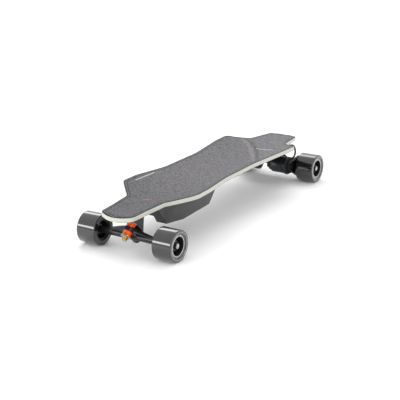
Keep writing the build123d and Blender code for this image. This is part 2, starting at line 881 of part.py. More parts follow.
first_row_x = battery_rear_x + 32
row_step = 2 * cell_radius + cell_gap
with BuildPart() as battery_cells:
    for side in (-1, 1):
        middle = side * (cell_length / 2 + 1)
        with BuildSketch(Plane.XZ.offset(-middle - cell_length / 2)):
            for row in range(cell_rows):
                for layer in (0, 1):
                    level = battery_bottom + battery_wall + 1 + cell_radius + layer * row_step
                    with Locations((first_row_x + row * row_step, level)):
                        Circle(cell_radius)
        extrude(amount=cell_length)
save(battery_cells, "battery_cells")

with BuildPart() as battery_board:
    with BuildSketch(Plane.YZ.offset(battery_rear_x + battery_wall + 15)):
        with Locations((0, battery_bottom + battery_wall + 21)):
            Rectangle(76, 36)
    extrude(amount=1.6)
    with BuildSketch(Plane.YZ.offset(battery_rear_x + battery_wall + 13)):
        with Locations(*[(y, battery_bottom + battery_wall + 12) for y in (-28, -20, 20, 28)]):
            Rectangle(5, 6)
    extrude(amount=2)
save(battery_board, "battery_board")

with BuildPart() as charge_socket:
    with BuildSketch(Plane.YZ.offset(battery_rear_x)):
        with Locations((0, socket_z)):
            Circle(socket_radius)
    extrude(amount=12)
    with BuildSketch(Plane.YZ.offset(battery_rear_x)):
        with Locations((0, socket_z)):
            Circle(socket_bore_radius)
    extrude(amount=socket_bore_depth, mode=Mode.SUBTRACT)
save(charge_socket, "charge_socket")

cap_face_x = battery_rear_x - moving_gap
cap_hinge_z = socket_z + cap_radius + cap_hinge_radius
with BuildPart() as charge_port_cap:
    with BuildSketch(Plane.YZ.offset(cap_face_x - cap_thickness)):
        with Locations((0, socket_z)):
            Circle(cap_radius)
        with Locations((0, socket_z + cap_radius / 2)):
            Rectangle(12, cap_radius)
    extrude(amount=cap_thickness)
    with BuildSketch(Plane.YZ.offset(cap_face_x - cap_thickness)):
        with Locations((0, socket_z - cap_radius - 1)):
            RectangleRounded(8, 5, 2)
    extrude(amount=cap_thickness)
    with BuildSketch(Plane.YZ.offset(cap_face_x)):
        with Locations((0, socket_z)):
            Circle(socket_bore_radius - 0.3)
    extrude(amount=4)
    with BuildSketch(Plane.XZ.offset(-6)):
        with Locations((cap_face_x - cap_hinge_radius, cap_hinge_z)):
            Circle(cap_hinge_radius)
            Circle(cap_hinge_radius / 2, mode=Mode.SUBTRACT)
    extrude(amount=12)
save(charge_port_cap, "charge_port_cap")

with BuildPart() as cap_hinge_pin:
    with BuildSketch(Plane.XZ.offset(-9)):
        with Locations((cap_face_x - cap_hinge_radius, cap_hinge_z)):
            Circle(cap_hinge_radius / 2 - running_clearance)
    extrude(amount=18)
    for y in (-9, 7):
        with BuildSketch(Plane.XZ.offset(y)):
            with Locations((cap_face_x - cap_hinge_radius, cap_hinge_z)):
                Circle(cap_hinge_radius)
            with Locations((cap_face_x - cap_hinge_radius / 2 + moving_gap / 2, cap_hinge_z)):
                Rectangle(cap_hinge_radius + moving_gap, 2 * cap_hinge_radius)
        extrude(amount=2)
save(cap_hinge_pin, "cap_hinge_pin")

# ---------------------------------------------------------------- speed controller case
controller_length = controller_front_x - controller_rear_x
controller_middle_x = (controller_front_x + controller_rear_x) / 2
controller_height = deck_top - controller_bottom
controller_posts = [
    (controller_middle_x + i * (controller_length / 2 - 11), j * (controller_half_width - 11))
    for i in (-1, 1)
    for j in (-1, 1)
]


def controller_plan(inset):
    """Plan outline of the speed controller case, moved in by an inset."""
    with BuildSketch() as plan:
        with Locations((controller_middle_x, 0)):
            Rectangle(controller_length - 2 * inset, 2 * (controller_half_width - inset))
        chamfer(plan.vertices(), controller_corner - inset * (2 - sqrt(2)))
    return plan.sketch


with BuildPart() as controller_case:
    with BuildSketch(Plane.XY.offset(controller_bottom)):
        add(controller_plan(0))
    extrude(amount=controller_height)
    chamfer(controller_case.faces().sort_by(Axis.Z)[0].edges(), 3)
    with BuildSketch(Plane.XY.offset(controller_bottom + controller_wall)):
        add(controller_plan(controller_wall))
    extrude(amount=controller_height, mode=Mode.SUBTRACT)
    for x, y in controller_posts:
        with BuildSketch(Plane.XY.offset(controller_bottom + 1)):
            with Locations((x, y)):
                Circle(case_post_radius)
        extrude(amount=controller_height)
    add(deck_underside, mode=Mode.SUBTRACT)
    for x, y in controller_posts:
        with BuildSketch(Plane.XY.offset(controller_bottom)):
            with Locations((x, y)):
                Circle(case_screw_radius)
        extrude(amount=controller_height, mode=Mode.SUBTRACT)
        with BuildSketch(Plane.XY.offset(controller_bottom)):
            with Locations((x, y)):
                Circle(case_screw_head_radius)
        extrude(amount=controller_wall + 0.5, mode=Mode.SUBTRACT)
    with BuildSketch(Plane.XY.offset(controller_bottom)):
        with Locations((controller_middle_x, 0)):
            Rectangle(heat_sink_length, heat_sink_width)
    extrude(amount=controller_wall, mode=Mode.SUBTRACT)
    with BuildSketch(Plane.XZ.offset(controller_half_width - controller_wall - 4)):
        with Locations((button_x, controller_bottom + 8)):
            Circle(button_radius + running_clearance)
    extrude(amount=controller_wall + 8, mode=Mode.SUBTRACT)
save(controller_case, "controller_case")

with BuildPart() as heat_sink:
    with BuildSketch(Plane.XY.offset(controller_bottom)):
        with Locations((controller_middle_x, 0)):
            Rectangle(heat_sink_length, heat_sink_width)
    extrude(amount=controller_wall)
    with BuildSketch(Plane.XY.offset(controller_bottom)):
        with Locations((controller_middle_x, 0)):
            with GridLocations(0, 7, 1, 10):
                Rectangle(heat_sink_length - 6, 2)
    extrude(amount=-heat_sink_drop)
save(heat_sink, "heat_sink")

with BuildPart() as controller_board:
    with BuildSketch(Plane.XY.offset(controller_bottom + controller_wall)):
        with Locations((controller_middle_x, 0)):
            Rectangle(heat_sink_length + 20, heat_sink_width + 6)
    extrude(amount=1.6)
    with BuildSketch(Plane.XY.offset(controller_bottom + controller_wall + 1.6)):
        with Locations((controller_middle_x, 0)):
            with GridLocations(18, 22, 5, 3):
                Rectangle(9, 9)
    extrude(amount=3.5)
save(controller_board, "controller_board")

with BuildPart() as power_button:
    with BuildSketch(Plane.XZ.offset(controller_half_width - controller_wall)):
        with Locations((button_x, controller_bottom + 8)):
            Circle(button_radius)
    extrude(amount=controller_wall + button_travel)
save(power_button, "power_button")

with BuildPart() as case_screws:
    for places, bottom, seat in (
        (post_places, battery_bottom, battery_wall),
        (controller_posts, controller_bottom, controller_wall + 0.5),
    ):
        for x, y in places:
            top = deck_surface_z(x, y) - deck_thickness
            with BuildSketch(Plane.XY.offset(bottom + seat)):
                with Locations((x, y)):
                    Circle(case_screw_radius)
            extrude(amount=top - bottom - seat - 1)
            with BuildSketch(Plane.XY.offset(bottom + 0.4)):
                with Locations((x, y)):
                    Circle(case_screw_head_radius)
            extrude(amount=seat - 0.4)
            with BuildSketch(Plane.XY.offset(bottom + 0.4)):
                with Locations((x, y)):
                    RegularPolygon(1.6, 6)
            extrude(amount=1.4, mode=Mode.SUBTRACT)
save(case_screws, "case_screws")

# ---------------------------------------------------------------- motor cables
cable_route = [
    (controller_rear_x, 40, 101.5),
    (controller_rear_x - 36, 43, 102.5),
    (controller_rear_x - 80, 47, 102),
    (controller_rear_x - 121, 51, 103),
    (controller_rear_x - 132, 54, 92.5),
    (controller_rear_x - 132, 57, 77.5),
    (controller_rear_x - 121, 60, 67),
    (controller_rear_x - 99, 63, 66),
    (motor_x - 18, motor_base_y + motor_base_thickness / 2, motor_z + 12),
]


def arc_radii(points):
    """A radius for each bend: as large as its two runs allow."""
    corners = [Vector(*p) for p in points]
    radii = []
    for a, b, c in zip(corners, corners[1:], corners[2:]):
        shorter = min((b - a).length, (c - b).length)
        turn = radians((b - a).get_angle(c - b))
        radii.append(0.45 * shorter / tan(turn / 2))
    return radii


cable_bends = arc_radii(cable_route)
print("motor cable bend radii", [round(r, 1) for r in cable_bends])

with BuildPart() as left_motor_cable:
    with BuildLine() as route:
        FilletPolyline(*cable_route, radius=cable_bends)
    cable_path = route.wires()[0]
    with BuildSketch(Plane(cable_path @ 0, z_dir=cable_path % 0)):
        Circle(motor_cable_radius)
    sweep(path=cable_path)
    add(controller_case.part, mode=Mode.SUBTRACT)
    add(motor_base.part, mode=Mode.SUBTRACT)
tube_volume = 3.14159265 * motor_cable_radius**2 * cable_path.length
print("motor cable volume over section times length", left_motor_cable.part.volume / tube_volume)
save(left_motor_cable, "left_motor_cable")

with BuildPart() as right_motor_cable:
    add(right_copy(left_motor_cable.part))
save(right_motor_cable, "right_motor_cable")
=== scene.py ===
"""Looks of a belt-driven electric skateboard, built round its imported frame.

Frame: +X points to the nose, +Y to the rider's left, +Z up, in metres.
"""

import json
import math

import bmesh
import bpy
import numpy as np
from mathutils import Matrix, Vector

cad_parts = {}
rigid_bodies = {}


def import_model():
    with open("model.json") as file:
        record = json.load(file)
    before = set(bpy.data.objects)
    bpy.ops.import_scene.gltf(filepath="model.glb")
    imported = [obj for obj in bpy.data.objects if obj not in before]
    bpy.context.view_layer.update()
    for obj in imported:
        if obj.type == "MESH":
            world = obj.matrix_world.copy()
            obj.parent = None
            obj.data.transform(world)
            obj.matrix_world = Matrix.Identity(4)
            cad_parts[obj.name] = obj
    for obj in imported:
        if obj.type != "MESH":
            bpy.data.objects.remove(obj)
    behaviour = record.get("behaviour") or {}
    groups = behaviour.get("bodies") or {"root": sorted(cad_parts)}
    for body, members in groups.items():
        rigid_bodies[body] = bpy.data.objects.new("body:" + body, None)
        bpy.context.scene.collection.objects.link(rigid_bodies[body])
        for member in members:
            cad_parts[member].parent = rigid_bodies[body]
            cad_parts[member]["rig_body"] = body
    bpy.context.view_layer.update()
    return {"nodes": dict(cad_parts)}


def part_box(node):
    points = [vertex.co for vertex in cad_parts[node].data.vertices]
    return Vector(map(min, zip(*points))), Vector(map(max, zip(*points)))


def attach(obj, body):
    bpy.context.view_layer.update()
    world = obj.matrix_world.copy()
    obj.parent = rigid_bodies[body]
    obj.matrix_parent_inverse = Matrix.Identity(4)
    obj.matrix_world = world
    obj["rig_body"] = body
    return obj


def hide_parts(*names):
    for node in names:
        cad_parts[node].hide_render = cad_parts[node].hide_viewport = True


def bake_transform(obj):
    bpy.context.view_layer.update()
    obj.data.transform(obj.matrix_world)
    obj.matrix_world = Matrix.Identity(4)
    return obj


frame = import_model()

MM = 0.001

# ---------------------------------------------------------------- sizes shared with the solids
deck_top = 122 * MM
camber_radius = 17000 * MM
concave_radius = 441 * MM
deck_thickness = 12 * MM
ply_count = 7
grip_thickness = 1.2 * MM

front_axle_x = 380 * MM
rear_axle_x = -399 * MM
axle_z = 42.5 * MM
wheel_y = 117.5 * MM
wheel_radius = 42.5 * MM
wheel_half_width = 28.5 * MM
core_radius = 28 * MM
core_face = 25 * MM

ring_ahead = 12 * MM
ring_above = 20 * MM
ring_half = 4.5 * MM
bushing_length = 14 * MM
bushing_radius = 12.5 * MM
bushing_waist = 1.6 * MM
kingpin_radius = 4.75 * MM

motor_x = rear_axle_x + 55 * MM
motor_z = axle_z + 12.5 * MM
belt_pitch = 5 * MM
wheel_teeth = 36
motor_teeth = 15
pulley_y = 74 * MM
pulley_width = 11.5 * MM
belt_width = 9 * MM
belt_gap = 0.3 * MM
tooth_height = 1.5 * MM
core_inner_y = wheel_y - core_face

controller_rear_x = -288 * MM
motor_base_middle_y = 64.5 * MM
cable_radius = 3 * MM


# ---------------------------------------------------------------- camera, floor and lights
def look_from(azimuth, elevation):
    """Unit vector from the object to a place seen at these angles, in degrees."""
    a, e = math.radians(azimuth), math.radians(elevation)
    return Vector((math.sin(a) * math.cos(e), -math.cos(a) * math.cos(e), math.sin(e)))


def aim(obj, target):
    """Turn a camera or a light to face a point."""
    obj.rotation_mode = "QUATERNION"
    obj.rotation_quaternion = (Vector(target) - obj.location).to_track_quat("-Z", "Y")


camera_target = Vector((-7.5 * MM, 0, 0))
camera_distance = 3.1636
camera_azimuth = 121.45
camera_elevation = 19.13
camera = bpy.data.objects.new("camera", bpy.data.cameras.new("camera"))
bpy.context.scene.collection.objects.link(camera)
camera.location = camera_target + look_from(camera_azimuth, camera_elevation) * camera_distance
aim(camera, camera_target)
camera.data.lens = 99.67
camera.data.shift_x = -0.02635
camera.data.shift_y = 0.0234
camera.data.clip_end = 100
bpy.context.scene.camera = camera
bpy.context.scene.view_settings.view_transform = "Standard"


def hex_colour(code):
    """Linear RGBA of an sRGB hex code."""
    parts = [int(code[i:i + 2], 16) / 255 for i in (1, 3, 5)]
    linear = [c / 12.92 if c <= 0.04045 else ((c + 0.055) / 1.055) ** 2.4 for c in parts]
    return (*linear, 1.0)


def add_node(tree, kind, settings=None, **links):
    """Add a node; settings go on the node or its sockets, links join an output or set a value."""
    made = tree.nodes.new(kind)
    for key, value in (settings or {}).items():
        setattr(made, key, value)
    for key, value in links.items():
        socket = made.inputs[int(key[1:]) if key[1:].isdigit() else key.replace("_", " ")]
        if isinstance(value, bpy.types.NodeSocket):
            tree.links.new(value, socket)
        else:
            socket.default_value = value
    return made


def area_light(name, place, target, width, height, power):
    """A soft rectangular light."""
    light = bpy.data.lights.new(name, "AREA")
    light.shape = "RECTANGLE"
    light.size = width
    light.size_y = height
    light.energy = power
    obj = bpy.data.objects.new(name, light)
    bpy.context.scene.collection.objects.link(obj)
    obj.location = place
    aim(obj, target)
    return obj


world_strength = 1.05
world = bpy.data.worlds.new("studio")
world.use_nodes = True
world.node_tree.nodes["Background"].inputs["Color"].default_value = (1, 1, 1, 1)
world.node_tree.nodes["Background"].inputs["Strength"].default_value = world_strength
bpy.context.scene.world = world

area_light("overhead_strip", (-1.5, -1.2, 2.0), (-0.1, -1.2, 0), 3.0, 1.0, 28)
area_light("front_strip", (2.3, -1.3, 0.75), (0.2, -1.3, 0.05), 2.6, 0.42, 26)
area_light("near_fill", (0.6, 2.6, 1.5), (0, 0, 0.05), 1.6, 1.0, 9)

# ---------------------------------------------------------------- materials


def new_material(name, colour, roughness, metallic=0.0, **shader):
    """A material with its constant values on the shader; gives the material, tree and shader."""
    made = bpy.data.materials.new(name)
    made.use_nodes = True
    tree = made.node_tree
    bsdf = tree.nodes["Principled BSDF"]
    bsdf.inputs["Base Color"].default_value = hex_colour(colour)
    bsdf.inputs["Roughness"].default_value = roughness
    bsdf.inputs["Metallic"].default_value = metallic
    for key, value in shader.items():
        bsdf.inputs[key.replace("_", " ")].default_value = value
    return made, tree, bsdf


def grain(tree, size, detail=3.0, stretch=(1, 1, 1)):
    """Noise whose cells are about this size, in metres, on the object's own coordinates."""
    coords = add_node(tree, "ShaderNodeTexCoord")
    place = add_node(tree, "ShaderNodeMapping", Vector=coords.outputs["Object"], Scale=stretch)
    return add_node(
        tree, "ShaderNodeTexNoise", Vector=place.outputs[0], Scale=1 / size, Detail=detail
    ).outputs["Fac"]


def tint(tree, bsdf, factor, dark, light, low=0.35, high=0.65):
    """Colour that runs from dark to light as a factor goes from low to high."""
    ramp = add_node(tree, "ShaderNodeValToRGB", _0=factor)
    ramp.color_ramp.elements[0].position = low
    ramp.color_ramp.elements[0].color = hex_colour(dark)
    ramp.color_ramp.elements[1].position = high
    ramp.color_ramp.elements[1].color = hex_colour(light)
    tree.links.new(ramp.outputs[0], bsdf.inputs["Base Color"])
    return ramp.outputs[0]


def roughen(tree, bsdf, factor, low, high):
    """Roughness that follows a factor."""
    spread = add_node(tree, "ShaderNodeMapRange", _0=factor, _3=low, _4=high)
    tree.links.new(spread.outputs[0], bsdf.inputs["Roughness"])


def emboss(tree, bsdf, factor, height, strength=1.0):
    """Bump of this height, in metres."""
    bump = add_node(tree, "ShaderNodeBump", Height=factor, Distance=height, Strength=strength)
    tree.links.new(bump.outputs[0], bsdf.inputs["Normal"])


def silicon_carbide_grip():
    """Abrasive grit glued to a sheet: matt, with pale and dark grains that sparkle a little."""
    made, tree, bsdf = new_material("silicon_carbide_grip", "#7f7d80", 0.85)
    fine = grain(tree, 2.2 * MM, 6)
    coarse = grain(tree, 7 * MM, 2)
    both = add_node(tree, "ShaderNodeMix", _0=0.22, _2=fine, _3=coarse)
    base = tint(tree, bsdf, both.outputs[0], "#302f32", "#858386", 0.37, 0.63)
    # The attribute read here multiplies the grit colour: a painted highlight on the foot stop's
    # crest, painted shade in its hollow, in the pressed border groove and along the rim.
    painted_light_tone = add_node(tree, "ShaderNodeAttribute", {"attribute_name": "painted_light_tone"})
    shaded = add_node(
        tree, "ShaderNodeVectorMath", {"operation": "MULTIPLY"}, _0=base, _1=painted_light_tone.outputs["Color"]
    )
    tree.links.new(shaded.outputs[0], bsdf.inputs["Base Color"])
    emboss(tree, bsdf, fine, 0.5 * MM, 0.5)
    return made


def lacquered_ply_edge():
    """Painted bamboo and maple ply: an ivory rim with faint glue lines, and a black underside."""
    made, tree, bsdf = new_material("lacquered_ply_edge", "#dcddd0", 0.35, Coat_Weight=0.3)
    coords = add_node(tree, "ShaderNodeTexCoord")
    split = add_node(tree, "ShaderNodeSeparateXYZ", Vector=coords.outputs["Object"])
    depth = split.outputs["Z"]
    for axis, radius, way in (("X", camber_radius, 1), ("Y", concave_radius, -1)):
        square = add_node(
            tree, "ShaderNodeMath", {"operation": "POWER"}, _0=split.outputs[axis], _1=2.0
        )
        depth = add_node(
            tree,
            "ShaderNodeMath",
            {"operation": "MULTIPLY_ADD"},
            _0=square.outputs[0],
            _1=way / (2 * radius),
            _2=depth,
        ).outputs[0]
    below = add_node(tree, "ShaderNodeMath", {"operation": "SUBTRACT"}, _0=deck_top, _1=depth)
    plies = add_node(
        tree,
        "ShaderNodeMath",
        {"operation": "MULTIPLY"},
        _0=below.outputs[0],
        _1=ply_count / deck_thickness,
    )
    part = add_node(tree, "ShaderNodeMath", {"operation": "FRACT"}, _0=plies.outputs[0])
    line = add_node(
        tree, "ShaderNodeMath", {"operation": "LESS_THAN"}, _0=part.outputs[0], _1=0.16
    )
    fibre = grain(tree, 3 * MM, 3, (0.1, 0.1, 4))
    base = tint(tree, bsdf, fibre, "#b4b6ab", "#c7c9be")
    glued = add_node(
        tree,
        "ShaderNodeMix",
        {"data_type": "RGBA"},
        _0=line.outputs[0],
        _6=base,
        _7=hex_colour("#a8a898"),
    )
    under = add_node(
        tree, "ShaderNodeMath", {"operation": "GREATER_THAN"}, _0=below.outputs[0], _1=10.6 * MM
    )
    whole = add_node(
        tree,
        "ShaderNodeMix",
        {"data_type": "RGBA"},
        _0=under.outputs[0],
        _6=glued.outputs[2],
        _7=hex_colour("#1b1b1c"),
    )
    tree.links.new(whole.outputs[2], bsdf.inputs["Base Color"])
    roughen(tree, bsdf, fibre, 0.3, 0.42)
    return made


def cast_urethane(name, dark, light, roughness, **shader):
    """Poured polyurethane: smooth and glossy, with faint scuffs that dull it."""
    made, tree, bsdf = new_material(name, dark, roughness, **shader)
    scuff = grain(tree, 9 * MM, 4)
    tint(tree, bsdf, scuff, dark, light)
    roughen(tree, bsdf, scuff, roughness * 0.9, roughness * 1.15)
    return made


def powder_coat(name, dark, light, roughness):
    """Powder coat on a casting: black with a fine orange peel that breaks up the highlights."""
    made, tree, bsdf = new_material(name, dark, roughness)
    peel = grain(tree, 1.6 * MM, 2)
    tint(tree, bsdf, grain(tree, 14 * MM, 3), dark, light)
    roughen(tree, bsdf, peel, roughness - 0.06, roughness + 0.08)
    emboss(tree, bsdf, peel, 0.06 * MM, 0.6)
    return made


def textured_plastic(name, dark, light, roughness, size):
    """Spark-eroded ABS moulding: a fine even grain that gives a satin grey."""
    made, tree, bsdf = new_material(name, dark, roughness)
    texture = grain(tree, size, 2)
    tint(tree, bsdf, texture, dark, light)
    roughen(tree, bsdf, texture, roughness - 0.05, roughness + 0.1)
    emboss(tree, bsdf, texture, 0.12 * MM, 0.6)
    return made


def turned_metal(name, dark, light, roughness, stretch=(1, 1, 1), size=2 * MM):
    """Machined or plated metal: bright, with fine tool marks that spread the reflections."""
    made, tree, bsdf = new_material(name, light, roughness, 1.0)
    marks = grain(tree, size, 3, stretch)
    tint(tree, bsdf, marks, dark, light)
    roughen(tree, bsdf, marks, roughness * 0.75, roughness * 1.35)
    emboss(tree, bsdf, marks, 0.02 * MM, 0.4)
    return made


def moulded_rubber(name, dark, light):
    """Moulded rubber: dull black with a slight bloom."""
    made, tree, bsdf = new_material(name, dark, 0.7)
    bloom = grain(tree, 5 * MM, 4)
    tint(tree, bsdf, bloom, dark, light)
    roughen(tree, bsdf, bloom, 0.6, 0.8)
    emboss(tree, bsdf, grain(tree, 0.8 * MM, 2), 0.05 * MM, 0.5)
    return made


def braided_sleeve():
    """Woven polyester sleeve: two crossed sets of strands, drawn 2 mm wide so that they show."""
    made, tree, bsdf = new_material("braided_sleeve", "#131314", 0.6)
    coords = add_node(tree, "ShaderNodeTexCoord")
    waves = []
    for turn in (0.785, -0.785):
        place = add_node(
            tree, "ShaderNodeMapping", Vector=coords.outputs["UV"], Rotation=(0, 0, turn)
        )
        wave = add_node(
            tree, "ShaderNodeTexWave", Vector=place.outputs[0], Scale=1 / (6.5 * 2 * MM)
        )
        waves.append(wave.outputs["Fac"])
    weave = add_node(
        tree, "ShaderNodeMath", {"operation": "MAXIMUM"}, _0=waves[0], _1=waves[1]
    ).outputs[0]
    tint(tree, bsdf, weave, "#0b0b0c", "#2c2c2e", 0.3, 0.9)
    emboss(tree, bsdf, weave, 0.3 * MM, 0.7)
    return made


def solder_mask():
    """Green lacquer over a glass fibre board, with paler tracks under it."""
    made, tree, bsdf = new_material("solder_mask", "#0d4a26", 0.35)
    coords = add_node(tree, "ShaderNodeTexCoord")
    cells = add_node(
        tree,
        "ShaderNodeTexVoronoi",
        {"distance": "CHEBYCHEV"},
        Vector=coords.outputs["Object"],
        Scale=1 / (4 * MM),
    )
    tint(tree, bsdf, cells.outputs["Distance"], "#0d4a26", "#2c7a48", 0.2, 0.6)
    return made


finishes = {
    "grip": silicon_carbide_grip(),
    "ply": lacquered_ply_edge(),
    "tyre": cast_urethane(
        "cast_urethane_smoke", "#151517", "#1c1c1e", 0.11, Coat_Weight=1.0, IOR=1.5
    ),
    # pale grey on the tyre's lip: a painted highlight where the lip's chamfer catches the light
    "lip": cast_urethane("lip_painted_highlight", "#8b8b8e", "#a6a6a9", 0.3),
    "bushing": cast_urethane("cast_urethane_orange", "#e8480f", "#ff6a22", 0.35),
    "casting": powder_coat("powder_coated_casting", "#121315", "#1f2023", 0.28),
    "mount": powder_coat("anodised_mount_plate", "#141517", "#1e2023", 0.42),
    "case": textured_plastic("spark_eroded_abs", "#2c2c2e", "#474749", 0.5, 1.8 * MM),
    "core": textured_plastic("glass_filled_nylon", "#0c0c0d", "#19191a", 0.5, 1.5 * MM),
    "button": textured_plastic("soft_touch_button", "#3c3c3e", "#4a4a4c", 0.6, 1 * MM),
    "rubber": moulded_rubber("moulded_rubber", "#0e0e0f", "#1b1b1c"),
    "belt": moulded_rubber("toothed_neoprene_belt", "#101011", "#1a1a1c"),
    "silver": turned_metal("turned_aluminium", "#b9bbbf", "#e6e7ea", 0.25),
    "zinc": turned_metal("zinc_plated_steel", "#9b9ea3", "#cfd1d5", 0.3),
    "gold": turned_metal("yellow_zinc_nut", "#a9803a", "#e0b45c", 0.3),
    "steel": turned_metal("ground_steel", "#a4a6aa", "#cccdd1", 0.22, (1, 8, 1)),
    "black_steel": turned_metal("black_oxide_steel", "#1d1e20", "#34363a", 0.4),
    "brass": turned_metal("turned_brass", "#9c7a37", "#d1a95a", 0.3),
    "motor": powder_coat("coated_motor_can", "#16171a", "#202226", 0.3),
    "sink": powder_coat("anodised_heat_sink", "#191a1c", "#26282b", 0.4),
    "pulley": turned_metal("anodised_pulley", "#222428", "#3a3d42", 0.35),
    "sleeve": cast_urethane("shrink_sleeve", "#24508f", "#2c5fa8", 0.3),
    "board": solder_mask(),
    "braid": braided_sleeve(),
    "line": textured_plastic("printed_line_ink", "#b9b8ba", "#cbcacc", 0.7, 1.5 * MM),
    "mark": textured_plastic("printed_orange_ink", "#a9502f", "#bd6340", 0.7, 1.5 * MM),
}

finish_of_node = {
    "ply": ["deck"],
    "brass": ["deck_inserts"],
    "rubber": ["riser_pads", "pivot_cups", "charge_port_cap"],
    "zinc": ["cup_washers", "front_axle_nuts", "rear_axle_nuts", "charge_socket"],
    "black_steel": ["truck_bolts", "mount_screws", "case_screws"],
    "steel": ["kingpins", "front_axle", "rear_axle", "cap_hinge_pin"],
    "sleeve": ["battery_cells"],
    "board": ["battery_board", "controller_board"],
    "button": ["power_button"],
    "sink": ["heat_sink"],
    "core": [f"{end}_{side}_core" for end in ("front", "rear") for side in ("left", "right")],
    "belt": ["left_drive_belt", "right_drive_belt"],
    "casting": ["front_baseplate", "rear_baseplate"],
}
for key, names in finish_of_node.items():
    for name in names:
        slots = frame["nodes"][name].data.materials
        slots.clear()
        slots.append(finishes[key])


# ---------------------------------------------------------------- making meshes
def new_object(name, points, faces, finish, smooth=True):
    """A mesh object from points and faces, with its normals facing out."""
    mesh = bpy.data.meshes.new(name)
    mesh.from_pydata([tuple(p) for p in points], [], faces)
    obj = bpy.data.objects.new(name, mesh)
    bpy.context.scene.collection.objects.link(obj)
    mesh.materials.append(finishes[finish])
    shell = bmesh.new()
    shell.from_mesh(mesh)
    bmesh.ops.remove_doubles(shell, verts=shell.verts, dist=1e-6)
    bmesh.ops.recalc_face_normals(shell, faces=shell.faces)
    for face in shell.faces:
        face.smooth = smooth
    shell.to_mesh(mesh)
    shell.free()
    if smooth:
        mesh.set_sharp_from_angle(angle=math.radians(38))
    return obj


def rounded(corners, steps=5):
    """Closed outline whose corners, given as (x, y, radius), are arcs."""
    points = []
    for i, (x, y, radius) in enumerate(corners):
        corner = Vector((x, y))
        before = Vector(corners[i - 1][:2]) - corner
        after = Vector(corners[(i + 1) % len(corners)][:2]) - corner
        if radius <= 0:
            points.append(corner)
            continue
        before.normalize()
        after.normalize()
        half = before.angle(after) / 2
        start = corner + before * (radius / math.tan(half))
        end = corner + after * (radius / math.tan(half))
        centre = corner + (before + after).normalized() * (radius / math.sin(half))
        for k in range(steps + 1):
            way = (start - centre).lerp(end - centre, k / steps).normalized()
            points.append(centre + way * radius)
    return points


def lathe(name, outline, origin, way, finish, segments=96):
    """Turn a closed outline of (radius, distance along) round an axis."""
    way = Vector(way).normalized()
    side = way.orthogonal().normalized()
    up = way.cross(side)
    points = []
    for k in range(segments):
        turn = 2 * math.pi * k / segments
        out = side * math.cos(turn) + up * math.sin(turn)
        points += [Vector(origin) + out * r + way * d for r, d in outline]
    count = len(outline)
    faces = []
    for k in range(segments):
        here, there = k * count, (k + 1) % segments * count
        for i in range(count):
            j = (i + 1) % count
            faces.append((here + i, here + j, there + j, there + i))
    return new_object(name, points, faces, finish)


def softened(name, node, finish, width, body=None):
    """A copy of a CAD node with its edges rounded off, which stands for the node."""
    source = frame["nodes"][node]
    mesh = source.data.copy()
    mesh.name = name
    obj = bpy.data.objects.new(name, mesh)
    bpy.context.scene.collection.objects.link(obj)
    mesh.materials.clear()
    mesh.materials.append(finishes[finish])
    if mesh.has_custom_normals:
        with bpy.context.temp_override(object=obj, active_object=obj, selected_objects=[obj]):
            bpy.ops.mesh.customdata_custom_splitnormals_clear()
    shell = bmesh.new()
    shell.from_mesh(mesh)
    bmesh.ops.remove_doubles(shell, verts=shell.verts, dist=2e-6)
    bmesh.ops.dissolve_limit(
        shell, angle_limit=math.radians(0.4), verts=shell.verts, edges=shell.edges
    )
    for face in shell.faces:
        face.smooth = True
        face.material_index = 0
    for edge in shell.edges:
        edge.smooth = True
    shell.to_mesh(mesh)
    shell.free()
    bevel = obj.modifiers.new("edges", "BEVEL")
    bevel.width = width
    bevel.segments = 2
    bevel.limit_method = "ANGLE"
    bevel.angle_limit = math.radians(32)
    bevel.use_clamp_overlap = True
    obj.data = bpy.data.meshes.new_from_object(
        obj.evaluated_get(bpy.context.evaluated_depsgraph_get())
    )
    obj.modifiers.clear()
    obj.data.set_sharp_from_angle(angle=math.radians(38))
    obj.data.name = name
    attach(obj, body or source["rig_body"])
    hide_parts(node)
    return obj


# ---------------------------------------------------------------- repeated details
def start_tree(name, sizes):
    """A geometry tree with named number inputs; gives the tree, its input node and output node."""
    tree = bpy.data.node_groups.new(name, "GeometryNodeTree")
    tree.interface.new_socket("Geometry", in_out="INPUT", socket_type="NodeSocketGeometry")
    tree.interface.new_socket("Geometry", in_out="OUTPUT", socket_type="NodeSocketGeometry")
    for label, kind in sizes:
        tree.interface.new_socket(label, in_out="INPUT", socket_type=kind)
    return tree, tree.nodes.new("NodeGroupInput"), tree.nodes.new("NodeGroupOutput")


def end_tree(tree, result, leave, finish):
    """Make the instances real, give them their finish and send them out."""
    real = add_node(tree, "GeometryNodeRealizeInstances", Geometry=result)
    dressed = add_node(tree, "GeometryNodeSetMaterial", Geometry=real.outputs[0])
    dressed.inputs["Material"].default_value = finishes[finish]
    tree.links.new(dressed.outputs[0], leave.inputs[0])


FLOAT, WHOLE = "NodeSocketFloat", "NodeSocketInt"


